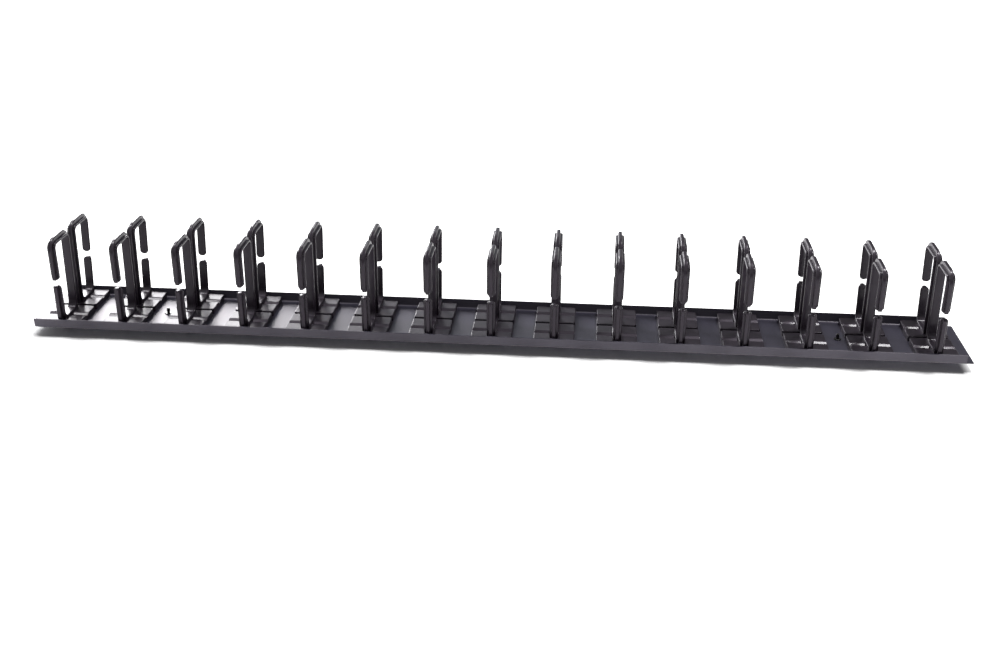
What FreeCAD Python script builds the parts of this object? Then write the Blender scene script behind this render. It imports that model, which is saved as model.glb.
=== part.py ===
import FreeCAD
import Part
import Sketcher
import os

# Vertical cable manager: a long folded steel tray with pairs of open moulded cable rings.
# Millimetres, +Z up, X along the tray, Y across it, origin on the ground below its middle.

DRIVING_SIZES = {
    # rows of rings along the tray
    "row_count": 15,
    "row_pitch": 66.675,
    "end_margin": 36.2,
    # folded steel tray
    "sheet_thickness": 1.5,
    "lip_height": 11.2,
    "lip_flare": 12,
    "lip_setback": 8,
    "lip_corner": 1,
    "lip_clearance": 0.3,
    "bend_radius": 1.5,
    "ground_gap": 8,
    # base plate of a ring, with its cross channel for a strap
    "plate_width": 43,
    "plate_depth": 45.2,
    "plate_height": 6.5,
    "plate_corner": 2,
    "plate_gap": 3.6,
    "channel_width": 8,
    "channel_depth": 1.9,
    # open loop of a ring, a flange inside with a web round it
    "loop_shift": 1.5,
    "loop_height": 99.7,
    "flange_width": 9.1,
    "flange_thickness": 2.6,
    "web_thickness": 3.7,
    "web_height": 4.7,
    "web_corner": 13,
    "flange_corner": 2.4,
    "foot_bend": 4,
    "arm_lean": 3.5,
    "finger_gap": 5.8,
    "finger_gap_height": 50.2,
    "finger_tip": 2.8,
    # snap legs below a ring
    "stem_width": 8,
    "leg_depth": 8,
    "leg_slit": 2.4,
    "leg_tip": 1.6,
    "barb_reach": 1.2,
    "barb_clearance": 0.1,
    "slot_clearance": 0.3,
    # mounting holes on the tray's middle line
    "screw_hole": 5.5,
    "screw_inset_rows": 1.5,
    "screw_shift": 3.9,
}

# Sketcher's names for the ends of a line and for the sketch origin
START = 1
END = 2
CENTRE = 3
ORIGIN = (-1, 1)

# property that holds the size of an edge finish
SIZE_PROPERTY = {"Fillet": "Radius", "Chamfer": "Size"}

# how near an edge lies to the place where it is looked for
NEAR = 0.01

doc = FreeCAD.newDocument("vertical_cable_manager")
sheet = doc.addObject("Spreadsheet::Sheet", "sizes")
for row, (name, number) in enumerate(DRIVING_SIZES.items(), 1):
    sheet.set(f"A{row}", name)
    sheet.set(f"B{row}", str(number))
    sheet.setAlias(f"B{row}", name)
doc.recompute()


def value(expression):
    """Number that an expression on the sheet's sizes comes to."""
    return float(sheet.evalExpression(expression))


def add_sketch(body, plane, name):
    """Sketch on one of the body's own origin planes."""
    sketch = body.newObject("Sketcher::SketchObject", name)
    planes = [feature for feature in body.Origin.OriginFeatures if feature.Role == plane]
    sketch.AttachmentSupport = [(planes[0], "")]
    sketch.MapMode = "FlatFace"
    return sketch


def pin_point(sketch, line, end, across, up):
    """Hold one point of the sketch at two expressions, measured from the sketch origin."""
    for kind, expression in (("DistanceX", across), ("DistanceY", up)):
        constraint = Sketcher.Constraint(kind, *ORIGIN, line, end, value(expression))
        index = sketch.addConstraint(constraint)
        sketch.setExpression(f"Constraints[{index}]", expression)


def add_polygon(sketch, points):
    """Closed outline through points, each given as two expressions."""
    first = sketch.GeometryCount
    places = [FreeCAD.Vector(value(across), value(up), 0) for across, up in points]
    for index, place in enumerate(places):
        following = places[(index + 1) % len(places)]
        sketch.addGeometry(Part.LineSegment(place, following), False)
    for index, (across, up) in enumerate(points):
        following = first + (index + 1) % len(points)
        sketch.addConstraint(Sketcher.Constraint("Coincident", first + index, END, following, START))
        pin_point(sketch, first + index, START, across, up)


def add_rectangle(sketch, left, right, bottom, top):
    """Closed rectangle between four expressions."""
    add_polygon(sketch, [(left, bottom), (right, bottom), (right, top), (left, top)])


def add_pad(body, sketch, name, length, symmetric=False):
    """Extrusion of a sketch, to one side or evenly to both."""
    pad = body.newObject("PartDesign::Pad", name)
    pad.Profile = sketch
    pad.setExpression("Length", length)
    pad.Midplane = symmetric
    doc.recompute()
    return pad


def add_pocket(body, sketch, name, symmetric=False):
    """Cut of a sketch right through the body, to one side or to both."""
    before = body.Shape.Volume
    pocket = body.newObject("PartDesign::Pocket", name)
    pocket.Profile = sketch
    pocket.Type = "ThroughAll"
    pocket.Midplane = symmetric
    doc.recompute()
    if body.Shape.Volume >= before:
        raise RuntimeError(f"{body.Label}: {name} cuts nothing")
    return pocket


def finish_edges(body, kind, name, size, direction, places):
    """Fillet or chamfer on the straight edges that run in a direction through any of the places."""
    base = body.Tip
    names = []
    for number, edge in enumerate(base.Shape.Edges, 1):
        if not isinstance(edge.Curve, Part.Line):
            continue
        if abs(abs(edge.Curve.Direction.dot(direction)) - 1) > NEAR:
            continue
        if any(edge.distToShape(Part.Vertex(place))[0] < NEAR for place in places):
            names.append(f"Edge{number}")
    if not names:
        raise RuntimeError(f"{body.Label}: {name} finds no edge")
    finish = body.newObject(f"PartDesign::{kind}", name)
    finish.Base = (base, names)
    finish.setExpression(SIZE_PROPERTY[kind], size)
    doc.recompute()


ALONG = FreeCAD.Vector(1, 0, 0)
ACROSS = FreeCAD.Vector(0, 1, 0)
UPWARD = FreeCAD.Vector(0, 0, 1)

# Heights and places that several pieces share
floor_height = "(sizes.ground_gap + sizes.sheet_thickness)"
ring_offset = "(sizes.plate_gap / 2 + sizes.plate_depth / 2 + sizes.loop_shift)"
half_rows = "(sizes.row_pitch * (sizes.row_count - 1) / 2)"
half_length = f"({half_rows} + sizes.end_margin)"
screw_spread = f"({half_rows} - sizes.screw_inset_rows * sizes.row_pitch)"
row_count = int(value("sizes.row_count"))


# Folded tray: floor, two flared lips, slots for the snap legs and holes for the screws
def make_tray():
    body = doc.addObject("PartDesign::Body", "tray")
    inner_edge = f"({ring_offset} + sizes.plate_depth / 2 + sizes.lip_clearance)"
    slope = "tan(sizes.lip_flare * 1 deg)"
    wall_width = "sizes.sheet_thickness / cos(sizes.lip_flare * 1 deg)"
    outer_edge = f"({inner_edge} - sizes.sheet_thickness * {slope} + {wall_width})"
    outer_top = f"({outer_edge} + sizes.lip_height * {slope})"
    inner_top = f"({outer_top} - {wall_width})"
    section = add_sketch(body, "YZ_Plane", "tray_section")
    half = [
        (outer_edge, "0"),
        (outer_top, "sizes.lip_height"),
        (inner_top, "sizes.lip_height"),
        (inner_edge, "sizes.sheet_thickness"),
    ]
    mirrored = [(f"-{across}", up) for across, up in reversed(half)]
    add_polygon(section, half + mirrored)
    add_pad(body, section, "folded_sheet", f"2 * {half_length}", symmetric=True)

    sides = (-1, 1)
    floor_top = value("sizes.sheet_thickness")
    inner_bends = [FreeCAD.Vector(0, side * value(inner_edge), floor_top) for side in sides]
    outer_bends = [FreeCAD.Vector(0, side * value(outer_edge), 0) for side in sides]
    finish_edges(body, "Fillet", "inner_bends", "sizes.bend_radius", ALONG, inner_bends)
    outer_radius = "sizes.bend_radius + sizes.sheet_thickness"
    finish_edges(body, "Fillet", "outer_bends", outer_radius, ALONG, outer_bends)

    lip_end = f"({half_length} - sizes.lip_setback)"
    ends = add_sketch(body, "XZ_Plane", "lip_ends")
    above = "2 * sizes.lip_height"
    beyond = f"({half_length} + sizes.lip_setback)"
    add_rectangle(ends, lip_end, beyond, "sizes.sheet_thickness", above)
    add_rectangle(ends, f"-{beyond}", f"-{lip_end}", "sizes.sheet_thickness", above)
    add_pocket(body, ends, "lip_setbacks", symmetric=True)
    lip_corners = []
    for end in sides:
        for side in sides:
            middle = (value(outer_top) + value(inner_top)) / 2
            lip_corners.append(FreeCAD.Vector(end * value(lip_end), side * middle, value("sizes.lip_height")))
    finish_edges(body, "Fillet", "lip_corners", "sizes.lip_corner", ACROSS, lip_corners)

    slots = add_sketch(body, "XY_Plane", "first_slots")
    half_slot = "(sizes.stem_width / 2 + sizes.slot_clearance)"
    half_depth = "(sizes.leg_depth / 2 + sizes.slot_clearance)"
    left = f"-{half_rows} - {half_slot}"
    right = f"-{half_rows} + {half_slot}"
    for sign in ("-", ""):
        near = f"{sign}{ring_offset} - {half_depth}"
        far = f"{sign}{ring_offset} + {half_depth}"
        add_rectangle(slots, left, right, near, far)
    first_slots = add_pocket(body, slots, "slot_pair", symmetric=True)
    pattern = body.newObject("PartDesign::LinearPattern", "slot_rows")
    pattern.Originals = [first_slots]
    pattern.Direction = (slots, ["H_Axis"])
    pattern.setExpression("Length", f"2 * {half_rows}")
    pattern.setExpression("Occurrences", "sizes.row_count")
    body.Tip = pattern
    doc.recompute()

    holes = add_sketch(body, "XY_Plane", "screw_holes")
    for sign in ("-", ""):
        screw_place = f"{sign}{screw_spread} + sizes.screw_shift"
        place = FreeCAD.Vector(value(screw_place), 0, 0)
        radius = "sizes.screw_hole / 2"
        circle = holes.addGeometry(Part.Circle(place, UPWARD, value(radius)), False)
        pin_point(holes, circle, CENTRE, screw_place, "0")
        index = holes.addConstraint(Sketcher.Constraint("Radius", circle, value(radius)))
        holes.setExpression(f"Constraints[{index}]", radius)
    add_pocket(body, holes, "screw_clearances", symmetric=True)
    body.setExpression("Placement.Base.z", "sizes.ground_gap")
    return body


# Moulded ring: base plate with a strap channel, open loop of T section, and a split snap leg
def make_ring(label):
    body = doc.addObject("PartDesign::Body", label)
    half_loop = "(sizes.plate_depth / 2)"
    plate_near = f"(-{half_loop} - sizes.loop_shift)"
    plate_far = f"({half_loop} - sizes.loop_shift)"
    half_plate = "(sizes.plate_width / 2)"
    plate = add_sketch(body, "XY_Plane", "plate_outline")
    add_rectangle(plate, f"-{half_plate}", half_plate, plate_near, plate_far)
    add_pad(body, plate, "plate", "sizes.plate_height")

    half_channel = "(sizes.channel_width / 2)"
    channel_floor = "(sizes.plate_height - sizes.channel_depth)"
    channel = add_sketch(body, "YZ_Plane", "channel_section")
    add_rectangle(channel, f"-{half_channel}", half_channel, channel_floor, "2 * sizes.plate_height")
    add_pocket(body, channel, "strap_channel", symmetric=True)
    sides = (-1, 1)
    corners = []
    for side in sides:
        for place in (plate_near, plate_far):
            corners.append(FreeCAD.Vector(side * value(half_plate), value(place), 0))
    finish_edges(body, "Chamfer", "plate_corners", "sizes.plate_corner", UPWARD, corners)

    flange_side = f"({half_loop} - sizes.web_height)"
    flange_top = "(sizes.loop_height - sizes.web_height)"
    opening_side = f"({flange_side} - sizes.flange_thickness)"
    opening_top = f"({flange_top} - sizes.flange_thickness)"
    opening_floor = "(sizes.plate_height + sizes.flange_thickness)"
    flange = add_sketch(body, "YZ_Plane", "flange_outline")
    add_loop(flange, flange_side, "sizes.plate_height", flange_top)
    add_loop(flange, opening_side, opening_floor, opening_top)
    add_pad(body, flange, "flange", "sizes.flange_width", symmetric=True)
    foot_corners = loop_corners(opening_side, opening_floor)
    outer_corners = loop_corners(flange_side, flange_top)
    finish_edges(body, "Chamfer", "foot_bends", "sizes.foot_bend", ALONG, foot_corners)
    finish_edges(body, "Chamfer", "flange_corners", "sizes.flange_corner", ALONG, outer_corners)

    web_root = f"({flange_side} - sizes.flange_thickness / 2)"
    web_crown = f"({flange_top} - sizes.flange_thickness / 2)"
    web_foot = "(sizes.plate_height / 2)"
    web = add_sketch(body, "YZ_Plane", "web_outline")
    half = [
        (half_loop, "sizes.loop_height"),
        (half_loop, web_foot),
        (web_root, web_foot),
        (web_root, web_crown),
    ]
    arm = [(leaning(across, up), up) for across, up in half]
    post = [(f"-{across}", up) for across, up in reversed(half)]
    add_polygon(web, arm + post)
    add_pad(body, web, "web", "sizes.web_thickness", symmetric=True)
    web_corners = loop_corners(half_loop, "sizes.loop_height")
    finish_edges(body, "Fillet", "web_corners", "sizes.web_corner", ALONG, web_corners)

    gap = add_sketch(body, "XZ_Plane", "finger_gap_outline")
    add_finger_gap(gap)
    add_pocket(body, gap, "finger_gap")

    legs = add_sketch(body, "XZ_Plane", "leg_outline")
    barb = "(-sizes.sheet_thickness - sizes.barb_clearance)"
    ground = f"(-{floor_height})"
    half_stem = "(sizes.stem_width / 2)"
    half_slit = "(sizes.leg_slit / 2)"
    for sign in ("-", ""):
        leg = [
            (f"{sign}{half_slit}", web_foot),
            (f"{sign}{half_stem}", web_foot),
            (f"{sign}{half_stem}", barb),
            (f"{sign}({half_stem} + sizes.barb_reach)", barb),
            (f"{sign}({half_slit} + sizes.leg_tip)", ground),
            (f"{sign}{half_slit}", ground),
        ]
        add_polygon(legs, leg)
    add_pad(body, legs, "snap_legs", "sizes.leg_depth", symmetric=True)
    return body


# Place on the outer arm, which leans out from the top of the base plate
def leaning(across, up):
    return f"({across} + tan(sizes.arm_lean * 1 deg) * ({up} - sizes.plate_height))"


# One outline of the loop, upright at its post and leaning at its arm
def add_loop(sketch, across, bottom, top):
    arm = [(leaning(across, bottom), bottom), (leaning(across, top), top)]
    add_polygon(sketch, [(f"-{across}", bottom)] + arm + [(f"-{across}", top)])


# Corners of the loop at one height, at its post and at its arm
def loop_corners(across, up):
    places = (f"-{across}", leaning(across, up))
    return [FreeCAD.Vector(0, value(place), value(up)) for place in places]


# Outline of the gap in the outer arm, with both finger tips narrowed
def add_finger_gap(sketch):
    half_width = "(sizes.flange_width / 2)"
    half_tip = f"({half_width} - sizes.finger_tip)"
    beyond = "sizes.flange_width"
    tip = "(sizes.finger_gap / 2)"
    shoulder = f"({tip} + sizes.finger_tip)"
    quarter = [(half_tip, tip), (half_width, shoulder), (beyond, shoulder)]
    outline = []
    for side, rise in (("", "+"), ("", "-"), ("-", "-"), ("-", "+")):
        points = [(f"{side}{across}", f"sizes.finger_gap_height {rise} {up}") for across, up in quarter]
        if (side == "") != (rise == "+"):
            points.reverse()
        outline.extend(points)
    add_polygon(sketch, outline)


pieces = [make_tray()]

# Rings in rows along the tray, back to back: the front one is turned half round
half_turn = FreeCAD.Rotation(UPWARD, 180)
for side, sign, turn in (("front", "-", half_turn), ("rear", "", FreeCAD.Rotation())):
    for row in range(row_count):
        ring = make_ring(f"ring_{side}_{row + 1:02d}")
        ring.Placement = FreeCAD.Placement(FreeCAD.Vector(), turn)
        ring.setExpression("Placement.Base.x", f"sizes.row_pitch * {row} - {half_rows}")
        ring.setExpression("Placement.Base.y", f"{sign}{ring_offset}")
        ring.setExpression("Placement.Base.z", floor_height)
        pieces.append(ring)

doc.recompute()

# Every object is sound before anything is written
for item in doc.Objects:
    if "Invalid" in item.State or "Error" in item.State:
        raise RuntimeError(f"{item.Label} did not build")
for piece in pieces:
    if piece.Shape.isNull() or not piece.Shape.isValid() or len(piece.Shape.Solids) != 1:
        raise RuntimeError(f"{piece.Label} is not one sound solid")

os.makedirs("parts", exist_ok=True)
for piece in pieces:
    piece.Shape.exportStep(f"parts/{piece.Label}.step")
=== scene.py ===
import math

import bpy
from mathutils import Matrix, Vector


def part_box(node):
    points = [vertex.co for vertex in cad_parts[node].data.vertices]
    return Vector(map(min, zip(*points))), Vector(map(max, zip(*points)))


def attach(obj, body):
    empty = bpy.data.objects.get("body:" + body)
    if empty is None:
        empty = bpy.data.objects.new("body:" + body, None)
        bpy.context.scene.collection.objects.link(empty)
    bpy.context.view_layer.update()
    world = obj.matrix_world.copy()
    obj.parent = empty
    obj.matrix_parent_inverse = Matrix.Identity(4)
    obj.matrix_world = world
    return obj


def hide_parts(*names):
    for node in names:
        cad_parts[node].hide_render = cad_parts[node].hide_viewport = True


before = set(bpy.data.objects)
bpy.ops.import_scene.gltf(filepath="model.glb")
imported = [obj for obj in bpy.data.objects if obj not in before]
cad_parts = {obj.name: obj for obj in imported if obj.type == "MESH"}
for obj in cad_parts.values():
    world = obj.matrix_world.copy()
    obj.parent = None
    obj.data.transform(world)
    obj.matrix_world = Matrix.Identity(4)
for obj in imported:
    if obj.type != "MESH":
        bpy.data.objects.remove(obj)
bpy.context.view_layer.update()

# One millimetre in Blender's metres
MM = 0.001

# Sizes read from the frame
tray_low, tray_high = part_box("tray")
ring_low, ring_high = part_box("ring_rear_08")
row_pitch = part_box("ring_rear_02")[0].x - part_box("ring_rear_01")[0].x
ring_names = sorted(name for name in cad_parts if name.startswith("ring_"))

# Sizes of the folded tray
sheet_thickness = 1.5 * MM
lip_lean = math.radians(12)
lip_slope = math.tan(lip_lean)
lip_setback = 8 * MM
lip_corner = 1 * MM
bend_radius = 1.5 * MM
tray_edge = 0.2 * MM
floor_skin = 0.01 * MM
slot_clearance = 0.3 * MM
floor_top = tray_low.z + sheet_thickness

# Sizes and places of the fasteners
fastener_rows = 5.5
fastener_shift = 3.9 * MM
fastener_hole = 2.75 * MM
fastener_edge = 0.15 * MM
base_radius = 4 * MM
base_height = 1 * MM
pin_radius = 1.7 * MM
pin_height = 5.5 * MM
pin_round = 0.6 * pin_radius
shank_radius = 2.45 * MM
shank_length = 6.5 * MM
shank_round = shank_radius / 3

# Sizes of a ring's base plate and split leg
plate_depth = 45.2 * MM
plate_height = 6.5 * MM
plate_overhang = 1.5 * MM
plate_corner = 3 * MM
plate_edge = 0.9 * MM
channel_width = 8 * MM
channel_depth = 1.9 * MM
channel_floor = 1 * MM
stem_width = 8 * MM
stem_sunk = 2 * MM
leg_depth = 8 * MM
leg_slit = 2.4 * MM
leg_tip = 1.6 * MM
barb_reach = 1.2 * MM
barb_clearance = 0.1 * MM
plate_top = floor_top + plate_height
ring_middle = ring_low.y + plate_overhang + plate_depth / 2

# Sizes of a ring's loop
flange_width = 9.3 * MM
flange_thickness = 2.6 * MM
flange_edge = 1.05 * MM
flange_corner = 7.5 * MM
opening_corner = 4.5 * MM
foot_bend = 7 * MM
web_thickness = 4.2 * MM
web_height = 4.7 * MM
web_edge = 1.1 * MM
web_corner = 15.5 * MM
arm_slope = math.tan(math.radians(3.5))
gap_low = floor_top + 47.3 * MM
gap_high = floor_top + 53.1 * MM
tip_round = 4.3 * MM
tip_edge = 1.6 * MM
tip_dome = 3 * MM
tip_spare = 0.25 * MM
small_edge = 0.25 * MM

# Faces of the loop, from its outside to its opening
loop_near = ring_low.y + plate_overhang
loop_far = loop_near + plate_depth
loop_top = ring_high.z
flange_near = loop_near + web_height
flange_far = loop_far - web_height
flange_top = loop_top - web_height
opening_near = flange_near + flange_thickness
opening_far = flange_far - flange_thickness
opening_top = flange_top - flange_thickness
opening_floor = plate_top + flange_thickness
hidden_overlap = flange_thickness / 3

# Steps of the roundings and sides of the round bars
web_corner_steps = 12
flange_corner_steps = 9
foot_bend_steps = 9
opening_corner_steps = 7
tip_round_steps = 8
sheet_bend_steps = 6
corner_steps = 5
edge_steps = 4
shank_steps = 3
soft_steps = 2
bar_sides = 48
hole_sides = 32

# Sharpest angles that stay unrounded, and lengths that count as none
ring_soft_angle = math.radians(25)
plain_soft_angle = math.radians(40)
same_place = 0.005 * MM
sliver = 0.004 * MM


def leave_edit_mode():
    """Object mode with nothing selected."""
    if bpy.context.object and bpy.context.object.mode != "OBJECT":
        bpy.ops.object.mode_set(mode="OBJECT")
    bpy.ops.object.select_all(action="DESELECT")


def make_active(piece):
    """Only this piece selected and active."""
    leave_edit_mode()
    piece.select_set(True)
    bpy.context.view_layer.objects.active = piece


def settle(piece):
    """The piece's place goes into its mesh."""
    make_active(piece)
    bpy.ops.object.transform_apply(location=True, rotation=True, scale=True)


def slab(name, low, high):
    """Block between two corners."""
    leave_edit_mode()
    low = Vector(low)
    high = Vector(high)
    bpy.ops.mesh.primitive_cube_add(size=1, location=(low + high) / 2, scale=high - low)
    piece = bpy.context.object
    piece.name = name
    settle(piece)
    return piece


def upright_bar(name, radius, bottom, top, sides, along=0):
    """Round bar between two heights, on the tray's middle line."""
    leave_edit_mode()
    bpy.ops.mesh.primitive_cylinder_add(
        vertices=sides,
        radius=radius,
        depth=top - bottom,
        location=(along, 0, (bottom + top) / 2),
    )
    bar = bpy.context.object
    bar.name = name
    settle(bar)
    return bar


def pick(piece, kind, chosen):
    """Edit mode with only the chosen vertices, edges or faces selected."""
    make_active(piece)
    bpy.ops.object.mode_set(mode="EDIT")
    bpy.ops.mesh.select_mode(type=kind)
    bpy.ops.mesh.select_all(action="DESELECT")
    bpy.ops.object.mode_set(mode="OBJECT")
    mesh = piece.data
    parts = {"VERT": mesh.vertices, "EDGE": mesh.edges, "FACE": mesh.polygons}[kind]
    for part in parts:
        part.select = bool(chosen(mesh, part))
    bpy.ops.object.mode_set(mode="EDIT")


def near(first, second):
    """True where two lengths agree to a few microns."""
    return abs(first - second) < same_place


def lies_at(point, places):
    """True where a point lies at the given coordinates, each one value or several."""
    for axis, place in places.items():
        wanted = place if isinstance(place, list) else [place]
        if not any(near(getattr(point, axis), value) for value in wanted):
            return False
    return True


def vertex_at(**places):
    """Test for vertices at the given coordinates."""
    return lambda mesh, vertex: lies_at(vertex.co, places)


def face_at(**places):
    """Test for faces with their middle at the given coordinates."""
    return lambda mesh, face: lies_at(face.center, places)


def edge_at(**places):
    """Test for edges that run along the given coordinates."""

    def test(mesh, edge):
        first, second = [mesh.vertices[index].co for index in edge.vertices]
        level = all(near(getattr(first, axis), getattr(second, axis)) for axis in places)
        return level and lies_at(first, places) and lies_at(second, places)

    return test


def everything(mesh, part):
    """Test that leaves nothing out."""
    return True


def shift_vertices(piece, chosen, shift):
    """Move the chosen vertices."""
    pick(piece, "VERT", chosen)
    bpy.ops.transform.translate(value=shift)
    leave_edit_mode()


def round_picked(piece, chosen, radius, steps):
    """Round the chosen edges."""
    pick(piece, "EDGE", chosen)
    bpy.ops.mesh.bevel(offset=radius, segments=steps, affect="EDGES")
    leave_edit_mode()


def round_rim(piece, on_face, left_out, radius, steps):
    """Round the rim of the chosen faces, apart from the edges that are left out."""
    pick(piece, "FACE", on_face)
    bpy.ops.mesh.region_to_loop()
    bpy.ops.object.mode_set(mode="OBJECT")
    for edge in piece.data.edges:
        if left_out(piece.data, edge):
            edge.select = False
    bpy.ops.object.mode_set(mode="EDIT")
    bpy.ops.mesh.bevel(offset=radius, segments=steps, affect="EDGES")
    leave_edit_mode()


def combine(piece, other, operation):
    """Join another block to the piece, or cut it away, and use the other block up."""
    make_active(piece)
    modifier = piece.modifiers.new("combine", "BOOLEAN")
    modifier.operation = operation
    modifier.solver = "EXACT"
    modifier.object = other
    bpy.ops.object.modifier_apply(modifier=modifier.name)
    bpy.data.objects.remove(other, do_unlink=True)


def join(first, second):
    """Two objects as one mesh."""
    if first is None:
        return second
    leave_edit_mode()
    second.select_set(True)
    first.select_set(True)
    bpy.context.view_layer.objects.active = first
    bpy.ops.object.join()
    return first


def clear_slivers(piece):
    """Merge points that all but touch, so that no sliver of a face is left."""
    pick(piece, "VERT", everything)
    bpy.ops.mesh.remove_doubles(threshold=sliver)
    bpy.ops.mesh.dissolve_degenerate(threshold=sliver)
    leave_edit_mode()


def soften_edges(piece, radius, angle):
    """Small rounding along every edge sharper than an angle, with smooth shading."""
    clear_slivers(piece)
    make_active(piece)
    modifier = piece.modifiers.new("soften", "BEVEL")
    modifier.width = radius
    modifier.segments = soft_steps
    modifier.limit_method = "ANGLE"
    modifier.angle_limit = angle
    modifier.use_clamp_overlap = False
    modifier.miter_outer = "MITER_ARC"
    bpy.ops.object.modifier_apply(modifier=modifier.name)
    clear_slivers(piece)
    make_active(piece)
    bpy.ops.object.shade_smooth_by_angle(angle=angle)
    flat = piece.modifiers.new("flat", "WEIGHTED_NORMAL")
    flat.keep_sharp = True
    bpy.ops.object.modifier_apply(modifier=flat.name)


def copy_piece(piece, name, place):
    """Copy with its own mesh, put in place."""
    mesh = piece.data.copy()
    mesh.transform(place)
    other = bpy.data.objects.new(name, mesh)
    bpy.context.scene.collection.objects.link(other)
    return other


def tie_to_frame(piece, slot, *replaced):
    """The piece's body, and the CAD nodes that it stands for; the slot is not used."""
    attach(piece, "root")
    if replaced:
        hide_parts(*replaced)


def leaning(across, height):
    """Place on the outer arm, which leans out from the top of the base plate."""
    return across + arm_slope * (height - plate_top)


def loop_block(name, half_width, near_face, far_face, bottom, top):
    """Block across the loop, upright at the post and leaning at the arm."""
    block = slab(name, (-half_width, near_face, bottom), (half_width, far_face, top))
    for height in (bottom, top):
        lean = leaning(far_face, height) - far_face
        shift_vertices(block, vertex_at(y=far_face, z=height), (0, lean, 0))
    return block


def round_loop(block, near_face, far_face, height, radius, steps):
    """Round a loop block's two corners at one height."""
    corners = edge_at(y=[near_face, leaning(far_face, height)], z=height)
    round_picked(block, corners, radius, steps)


def round_sides(block, half_width, bottom, radius):
    """Round the rim of both flat sides of a loop block, apart from its bottom edge."""
    sides = face_at(x=[-half_width, half_width])
    round_rim(block, sides, edge_at(z=bottom), radius, edge_steps)


# Web: an arch round the outside of the loop, with well rounded edges
def make_web():
    half_web = web_thickness / 2
    foot = floor_top + plate_height / 2
    web = loop_block("web", half_web, loop_near, loop_far, foot, loop_top)
    round_loop(web, loop_near, loop_far, loop_top, web_corner, web_corner_steps)
    round_sides(web, half_web, foot, web_edge)
    inside_near = opening_near - hidden_overlap
    inside_far = opening_far + hidden_overlap
    inside_top = opening_top + hidden_overlap
    inside = loop_block("web_inside", flange_width, inside_near, inside_far, tray_low.z, inside_top)
    combine(web, inside, "DIFFERENCE")
    return web


# Flange: a flat band round the opening
def make_flange():
    half_flange = flange_width / 2
    foot = plate_top - hidden_overlap
    flange = loop_block("flange", half_flange, flange_near, flange_far, foot, flange_top)
    round_loop(flange, flange_near, flange_far, flange_top, flange_corner, flange_corner_steps)
    opening = loop_block("opening", flange_width, opening_near, opening_far, opening_floor, opening_top)
    round_loop(opening, opening_near, opening_far, opening_top, opening_corner, opening_corner_steps)
    round_loop(opening, opening_near, opening_far, opening_floor, foot_bend, foot_bend_steps)
    combine(flange, opening, "DIFFERENCE")
    round_sides(flange, half_flange, foot, flange_edge)
    return flange


# Block that cuts the finger gap and leaves both tips domed
def make_gap_cutter():
    reach = 2 * flange_width
    half_width = (flange_width + tip_spare) / 2
    deep = 2 * tip_round
    low = (-reach, ring_middle, gap_low - tip_round)
    cutter = slab("gap_cutter", low, (reach, 2 * loop_far, gap_high + tip_round))
    for tip_end, root in ((gap_low, gap_low - deep), (gap_high, gap_high + deep)):
        inner = leaning(opening_far, tip_end) - tip_spare
        outer = leaning(loop_far, tip_end) + tip_spare
        low = (-half_width, inner, min(tip_end, root))
        tip = slab("finger_tip", low, (half_width, outer, max(tip_end, root)))
        corners = edge_at(x=[-half_width, half_width], z=tip_end)
        round_picked(tip, corners, tip_round, tip_round_steps)
        round_rim(tip, face_at(y=inner), edge_at(z=root), tip_edge, corner_steps)
        round_rim(tip, face_at(y=outer), edge_at(z=root), tip_dome, corner_steps)
        combine(cutter, tip, "DIFFERENCE")
    return cutter


# Wedge that leaves a shallow channel with sloping sides across the plate
def make_channel(reach):
    floor_half = channel_floor / 2
    top_half = channel_width - floor_half
    bottom = plate_top - channel_depth
    low = (-2 * reach, ring_middle - top_half, bottom)
    wedge = slab("channel", low, (2 * reach, ring_middle + top_half, plate_top + channel_depth))
    for side in (-1, 1):
        edge = vertex_at(y=ring_middle + side * top_half, z=bottom)
        shift_vertices(wedge, edge, (0, side * (floor_half - top_half), 0))
    return wedge


# Base plate with its strap channel and two soft-edged pads
def make_plate():
    reach = ring_high.x
    plate_near = ring_low.y
    plate_far = plate_near + plate_depth
    plate = slab("plate", (-reach, plate_near, floor_top), (reach, plate_far, plate_top))
    upright = edge_at(x=[-reach, reach], y=[plate_near, plate_far])
    round_picked(plate, upright, plate_corner, corner_steps)
    combine(plate, make_channel(reach), "DIFFERENCE")
    channel_sides = [ring_middle - channel_width / 2, ring_middle + channel_width / 2]
    channel_edges = edge_at(y=channel_sides, z=plate_top)
    round_rim(plate, face_at(z=plate_top), channel_edges, plate_edge, edge_steps)
    return plate


# Half of the split leg: a barb below the tray and a stem that rises from it through the slot
def make_leg(side):
    inner = side * leg_slit / 2
    outer = side * stem_width / 2
    barb = outer + side * barb_reach
    barb_top = tray_low.z - barb_clearance
    near_face = ring_middle - leg_depth / 2
    far_face = ring_middle + leg_depth / 2
    low = (min(inner, barb), near_face, ring_low.z)
    leg = slab("leg", low, (max(inner, barb), far_face, barb_top))
    taper = inner + side * leg_tip - barb
    shift_vertices(leg, vertex_at(x=barb, z=ring_low.z), (taper, 0, 0))
    stem_low = (min(inner, outer), near_face, barb_top - stem_sunk)
    stem_high = (max(inner, outer), far_face, floor_top + plate_height / 3)
    combine(leg, slab("stem", stem_low, stem_high), "UNION")
    return leg


# One ring, made where the middle rear one stands
def make_ring():
    ring = make_web()
    combine(ring, make_flange(), "UNION")
    combine(ring, make_gap_cutter(), "DIFFERENCE")
    combine(ring, make_plate(), "UNION")
    for side in (-1, 1):
        combine(ring, make_leg(side), "UNION")
    soften_edges(ring, small_edge, ring_soft_angle)
    return ring


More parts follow.
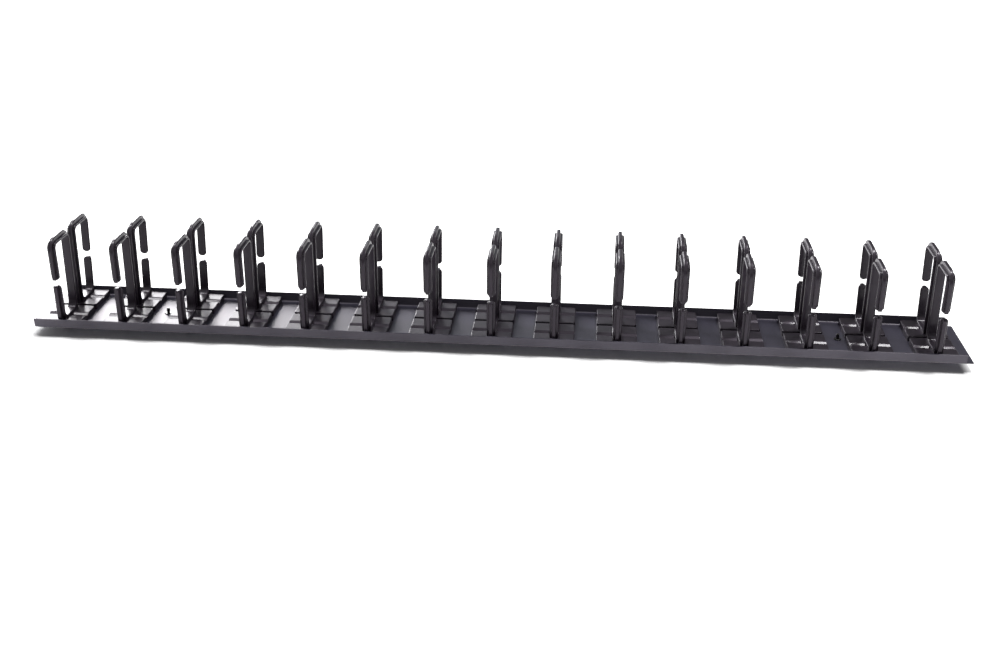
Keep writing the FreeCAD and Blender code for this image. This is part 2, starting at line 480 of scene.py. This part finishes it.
# Flat sheet with its long edges turned up and its thickness given downwards
def fold_sheet():
    lip_rise = tray_high.z - floor_top
    lip_run = lip_rise * lip_slope
    fold = tray_high.y - sheet_thickness / math.cos(lip_lean) - lip_run
    leave_edit_mode()
    bpy.ops.mesh.primitive_plane_add(size=1, location=(0, 0, floor_top))
    sheet = bpy.context.object
    sheet.name = "tray_sheet"
    sheet.scale = (tray_high.x - tray_low.x, 2 * fold, 1)
    settle(sheet)
    for side in (-1, 1):
        pick(sheet, "EDGE", edge_at(y=side * fold, z=floor_top))
        lift = (0, side * lip_run, lip_rise)
        bpy.ops.mesh.extrude_region_move(TRANSFORM_OT_translate={"value": lift})
        leave_edit_mode()
    tangent = bend_radius * math.tan((math.pi / 2 - lip_lean) / 2)
    round_picked(sheet, edge_at(y=[-fold, fold], z=floor_top), tangent, sheet_bend_steps)
    pick(sheet, "FACE", everything)
    bpy.ops.mesh.normals_make_consistent(inside=False)
    leave_edit_mode()
    floor_face = max(sheet.data.polygons, key=lambda face: face.area)
    make_active(sheet)
    thickness = sheet.modifiers.new("sheet", "SOLIDIFY")
    thickness.thickness = sheet_thickness
    thickness.offset = -1 if floor_face.normal.z > 0 else 1
    thickness.use_even_offset = True
    bpy.ops.object.modifier_apply(modifier=thickness.name)
    return sheet


def fastener_along(side):
    """Place of a fastener along the tray."""
    return side * fastener_rows * row_pitch + fastener_shift


# Slots for the snap legs and holes for the fasteners
def cut_tray_openings(tray):
    half_slot = stem_width / 2 + slot_clearance
    half_depth = leg_depth / 2 + slot_clearance
    below = tray_low.z - sheet_thickness
    above = floor_top + sheet_thickness
    cutters = None
    for name in ring_names:
        low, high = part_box(name)
        x = (low.x + high.x) / 2
        y = math.copysign(ring_middle, high.y + low.y)
        slot_low = (x - half_slot, y - half_depth, below)
        slot_high = (x + half_slot, y + half_depth, above)
        cutters = join(cutters, slab("slot", slot_low, slot_high))
    hole_top = above + sheet_thickness
    for side in (-1, 1):
        hole = upright_bar("hole", fastener_hole, below, hole_top, hole_sides, fastener_along(side))
        cutters = join(cutters, hole)
    combine(tray, cutters, "DIFFERENCE")


# Folded tray: its lips stop short of the floor's ends, with a small round at their top corners
def make_tray():
    tray = fold_sheet()
    lip_end = tray_high.x - lip_setback
    for side in (-1, 1):
        x_low, x_high = sorted((side * lip_end, side * 2 * tray_high.x))
        low = (x_low, 2 * tray_low.y, floor_top + floor_skin)
        combine(tray, slab("lip_end", low, (x_high, 2 * tray_high.y, 2 * tray_high.z)), "DIFFERENCE")
    round_picked(tray, edge_at(x=[-lip_end, lip_end], z=tray_high.z), lip_corner, corner_steps)
    cut_tray_openings(tray)
    soften_edges(tray, tray_edge, plain_soft_angle)
    return tray


# Push-in fastener: a flat round base, a pin standing on it and a shank in the tray's hole
def make_fastener():
    base_top = floor_top + base_height
    base_middle = floor_top + base_height / 2
    pin_top = base_top + pin_height
    shank_foot = floor_top - shank_length
    fastener = upright_bar("fastener", base_radius, floor_top, base_top, bar_sides)
    round_picked(fastener, edge_at(z=base_top), base_height / 2, edge_steps)
    pin = upright_bar("pin", pin_radius, base_middle, pin_top, bar_sides)
    round_picked(pin, edge_at(z=pin_top), pin_round, corner_steps)
    combine(fastener, pin, "UNION")
    shank = upright_bar("shank", shank_radius, shank_foot, base_middle, bar_sides)
    round_picked(shank, edge_at(z=shank_foot), shank_round, shank_steps)
    combine(fastener, shank, "UNION")
    soften_edges(fastener, fastener_edge, plain_soft_angle)
    return fastener


class Socket:
    """One output of a node, so that sums and products add Math nodes."""

    def __init__(self, finish, output):
        self.finish = finish
        self.output = output

    def maths(self, operation, first, second):
        return self.finish.node("ShaderNodeMath", {"operation": operation}, {0: first, 1: second})

    def __add__(self, other):
        return self.maths("ADD", self, other)

    def __radd__(self, other):
        return self.maths("ADD", other, self)

    def __sub__(self, other):
        return self.maths("SUBTRACT", self, other)

    def __rsub__(self, other):
        return self.maths("SUBTRACT", other, self)

    def __mul__(self, other):
        return self.maths("MULTIPLY", self, other)

    def __rmul__(self, other):
        return self.maths("MULTIPLY", other, self)

    def __abs__(self):
        return self.maths("ABSOLUTE", self, 0)

    def above(self, least):
        return self.maths("MAXIMUM", self, least)

    def root(self):
        return self.maths("SQRT", self, 0)


class Finish:
    """Nodes of a material or of the world, written as expressions."""

    # The Mix node's colour sockets, whose names its other sockets share
    first_colour = 6
    second_colour = 7
    mixed_colour = 2

    def __init__(self, owner):
        owner.use_nodes = True
        self.owner = owner
        self.tree = owner.node_tree
        self.shader = self.tree.nodes.get("Principled BSDF")

    def node(self, kind, settings=None, inputs=None, output=0):
        """Node with its settings made first, then its sockets filled or linked."""
        made = self.tree.nodes.new(kind)
        for name, setting in (settings or {}).items():
            setattr(made, name, setting)
        for key, given in (inputs or {}).items():
            self.fill(made.inputs[key], given)
        return Socket(self, made.outputs[output])

    def fill(self, target, given):
        """A socket's own value, or a link into it."""
        if isinstance(given, Socket):
            self.tree.links.new(given.output, target)
        else:
            target.default_value = given

    def set(self, **inputs):
        """The shader's sockets, with spaces in their names written as underscores."""
        for name, given in inputs.items():
            self.fill(self.shader.inputs[name.replace("_", " ")], given)

    def place(self):
        """Object coordinates."""
        return self.node("ShaderNodeTexCoord", output="Object")

    def axis(self, place, name):
        """One coordinate of a place."""
        return self.node("ShaderNodeSeparateXYZ", inputs={"Vector": place}, output=name)

    def rise(self, given, start, end, least, most):
        """Smooth change from one value to another between two places."""
        inputs = {"Value": given, "From Min": start, "From Max": end, "To Min": least, "To Max": most}
        return self.node("ShaderNodeMapRange", {"interpolation_type": "SMOOTHSTEP"}, inputs)

    def sight(self):
        """Two masks: seen straight by the camera, and seen in gloss or through glass."""
        seen = self.node("ShaderNodeLightPath", output="Is Camera Ray")
        gloss = self.node("ShaderNodeLightPath", output="Is Glossy Ray")
        glass = self.node("ShaderNodeLightPath", output="Is Transmission Ray")
        return seen, gloss + glass

    def noise(self, place, waves, detail):
        """Noise between 0 and 1, with its scale in waves a metre."""
        inputs = {"Vector": place, "Scale": waves, "Detail": detail}
        return self.node("ShaderNodeTexNoise", inputs=inputs)

    def blend(self, factor, dark, light):
        """Colour between two colours."""
        inputs = {"Factor": factor, self.first_colour: dark, self.second_colour: light}
        return self.node("ShaderNodeMix", {"data_type": "RGBA"}, inputs, self.mixed_colour)

    def bump(self, height, strength, distance):
        """Normal from a height."""
        inputs = {"Height": height, "Strength": strength, "Distance": distance}
        return self.node("ShaderNodeBump", inputs=inputs)


def ring_plastic():
    """Black moulded plastic: semi-gloss with a faint grain, soft flow marks and duller pads."""
    dark = (0.0085, 0.0058, 0.0095, 1)
    light = (0.0135, 0.0093, 0.015, 1)
    pad_skin = 0.08 * MM
    pad_fade = 3 * pad_skin
    plain_roughness = 0.42
    pad_roughness = 0.03
    flow_roughness = 0.06
    grain_roughness = 0.04
    plain_coat = 0.24
    pad_coat_loss = 0.12
    grain_strength = 0.25
    grain_height = 0.06 * MM
    finish = Finish(bpy.data.materials.new("ring_plastic"))
    place = finish.place()
    flow = finish.noise(place, waves=45, detail=3)
    grain = finish.noise(place, waves=1500, detail=2)
    off_pad = abs(finish.axis(place, "Z") - plate_top)
    pad = finish.rise(off_pad, pad_skin, pad_fade, 1, 0)
    finish.set(
        Base_Color=finish.blend(flow, dark, light),
        Roughness=plain_roughness + pad_roughness * pad + flow_roughness * flow + grain_roughness * grain,
        Specular_IOR_Level=0.42,
        Specular_Tint=(0.94, 0.82, 1, 1),
        Coat_Weight=plain_coat - pad_coat_loss * pad,
        Coat_Roughness=0.1,
        Normal=finish.bump(grain, grain_strength, grain_height),
    )
    return finish.owner


def tray_paint():
    """Black powder coat: satin with a fine orange peel."""
    dark = (0.0165, 0.016, 0.032, 1)
    light = (0.021, 0.0205, 0.04, 1)
    plain_roughness = 0.4
    drift_roughness = 0.06
    peel_roughness = 0.06
    peel_strength = 0.2
    peel_height = 0.08 * MM
    finish = Finish(bpy.data.materials.new("tray_paint"))
    place = finish.place()
    drift = finish.noise(place, waves=9, detail=2)
    peel = finish.noise(place, waves=520, detail=3)
    finish.set(
        Base_Color=finish.blend(drift, dark, light),
        Roughness=plain_roughness + drift_roughness * drift + peel_roughness * peel,
        Specular_IOR_Level=1,
        Specular_Tint=(1, 0.92, 1, 1),
        Normal=finish.bump(peel, peel_strength, peel_height),
    )
    return finish.owner


def fastener_black():
    """Glossy black plastic of the two fasteners."""
    dark = (0.004, 0.004, 0.005, 1)
    light = (0.008, 0.008, 0.009, 1)
    plain_roughness = 0.22
    blotch_roughness = 0.08
    finish = Finish(bpy.data.materials.new("fastener_black"))
    blotch = finish.noise(finish.place(), waves=700, detail=3)
    finish.set(
        Base_Color=finish.blend(blotch, dark, light),
        Roughness=plain_roughness + blotch_roughness * blotch,
    )
    return finish.owner


# Rings: one pattern, copied to each row and turned half round at the front
def place_rings():
    pattern = make_ring()
    pattern.data.materials.append(ring_plastic())
    for name in ring_names:
        low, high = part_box(name)
        place = Matrix.Translation(((low.x + high.x) / 2, 0, 0))
        if high.y < 0:
            place = place @ Matrix.Rotation(math.pi, 4, "Z")
        ring = copy_piece(pattern, name.replace("ring", "cable_ring"), place)
        tie_to_frame(ring, "ring_plastic", name)
    bpy.data.objects.remove(pattern, do_unlink=True)


# Tray: one piece, made in place
def place_tray():
    tray = make_tray()
    tray.data.materials.append(tray_paint())
    tie_to_frame(tray, "tray_steel", "tray")


# Fasteners: one pattern, copied to both holes
def place_fasteners():
    pattern = make_fastener()
    pattern.data.materials.append(fastener_black())
    for side, name in ((-1, "fastener_left"), (1, "fastener_right")):
        place = Matrix.Translation((fastener_along(side), 0, 0))
        tie_to_frame(copy_piece(pattern, name, place), "ring_plastic")
    bpy.data.objects.remove(pattern, do_unlink=True)


# White ground that keeps the shadow round the tray and is plain white to the camera beyond it, with
# painted reflection light in the pieces' gloss
def make_floor():
    floor_size = 24
    floor_white = (0.9, 0.9, 0.9, 1)
    shade_inset = 12 * MM
    shade_fade = 16 * MM
    dim_end = -0.3
    bright_end = 0.6
    dim_level = 0.52
    open_dimming = 0.2
    leave_edit_mode()
    bpy.ops.mesh.primitive_plane_add(size=floor_size, location=(0, 0, 0))
    floor = bpy.context.object
    floor.name = "floor"
    finish = Finish(bpy.data.materials.new("floor_white"))
    place = finish.place()
    along = finish.axis(place, "X")
    beside = (abs(along) - (tray_high.x - shade_inset)).above(0)
    before = (abs(finish.axis(place, "Y")) - tray_high.y).above(0)
    away = (beside * beside + before * before).root()
    open_ground = finish.rise(away, 0, shade_fade, 0, 1)
    # painted reflection: in the pieces' gloss the ground glows, dimmer to the left, and a little dimmer
    # away from the tray
    painted_reflection_level = finish.rise(along, dim_end, bright_end, dim_level, 1)
    painted_reflection_glow = painted_reflection_level * (1 - open_dimming * open_ground)
    seen, mirrored = finish.sight()
    diffuse = finish.node("ShaderNodeBsdfDiffuse", inputs={"Color": floor_white})
    # glow: plain white to the camera on open ground, and painted reflection light in gloss
    glow = finish.node("ShaderNodeEmission", inputs={"Color": seen * open_ground + painted_reflection_glow * mirrored})
    both = finish.node("ShaderNodeAddShader", inputs={0: diffuse, 1: glow})
    finish.fill(finish.tree.nodes["Material Output"].inputs["Surface"], both)
    finish.tree.nodes.remove(finish.shader)
    floor.data.materials.append(finish.owner)


# Soft lamp that faces a place, unseen by the camera
def add_lamp(name, place, target, width, depth, power):
    light = bpy.data.lights.new(name, "AREA")
    light.shape = "RECTANGLE"
    light.size = width
    light.size_y = depth
    light.energy = power
    lamp = bpy.data.objects.new(name, light)
    lamp.location = place
    lamp.rotation_euler = (Vector(target) - Vector(place)).to_track_quat("-Z", "Y").to_euler()
    lamp.visible_camera = False
    bpy.context.scene.collection.objects.link(lamp)
    return lamp


# Two softboxes above, two panels behind and a card in front that shows in gloss only
def add_lamps():
    cool_white = (0.85, 0.94, 1)
    add_lamp("left_softbox", (-0.9, 0.25, 1.5), (-0.1, 0, 0), width=0.3, depth=0.3, power=10)
    add_lamp("right_softbox", (0.72, 0.28, 1.5), (0.1, 0, 0), width=0.32, depth=0.28, power=15)
    add_lamp("back_left_panel", (-1.65, 2, 0.85), (-1.65, 0, 0.2), width=1.7, depth=1.5, power=122)
    fill = add_lamp("back_fill_panel", (-0.3, 2, 0.85), (-0.3, 0, 0.2), width=1, depth=1.5, power=2.2)
    fill.data.color = cool_white
    card = add_lamp("front_top_card", (0.1, -1.5, 1.6), (0, 0, 0), width=3, depth=1.6, power=12)
    card.visible_diffuse = False


# Faint light from all round, which looks white where the camera sees past the floor
def make_world():
    world_white = (1, 1, 1, 1)
    world_light = 0.1
    world_gloss = 0.06
    world = Finish(bpy.data.worlds.new("studio"))
    seen, mirrored = world.sight()
    backdrop = world.tree.nodes["Background"]
    world.fill(backdrop.inputs["Color"], world_white)
    strength = world_light + (1 - world_light) * seen + world_gloss * mirrored
    world.fill(backdrop.inputs["Strength"], strength)
    bpy.context.scene.world = world.owner


# Camera at the photograph's viewing angle, with its turns in radians
def place_camera():
    place = Vector((99.57, -1329.5, 573.2)) * MM
    yaw = -0.0698
    pitch = 0.4057
    roll = 0.0118
    turn = Matrix.Rotation(roll, 3, "Y") @ Matrix.Rotation(pitch, 3, "X") @ Matrix.Rotation(yaw, 3, "Z")
    facing = turn.transposed() @ Matrix.Rotation(math.pi / 2, 3, "X")
    lens = bpy.data.cameras.new("camera")
    lens.sensor_width = 36
    lens.lens = 47.615
    lens.clip_start = 0.05
    lens.clip_end = 60
    camera = bpy.data.objects.new("camera", lens)
    camera.matrix_world = Matrix.Translation(place) @ facing.to_4x4()
    bpy.context.scene.collection.objects.link(camera)
    bpy.context.scene.camera = camera


place_rings()
place_tray()
place_fasteners()
make_floor()
add_lamps()
make_world()
place_camera()
bpy.context.scene.view_settings.view_transform = "Standard"
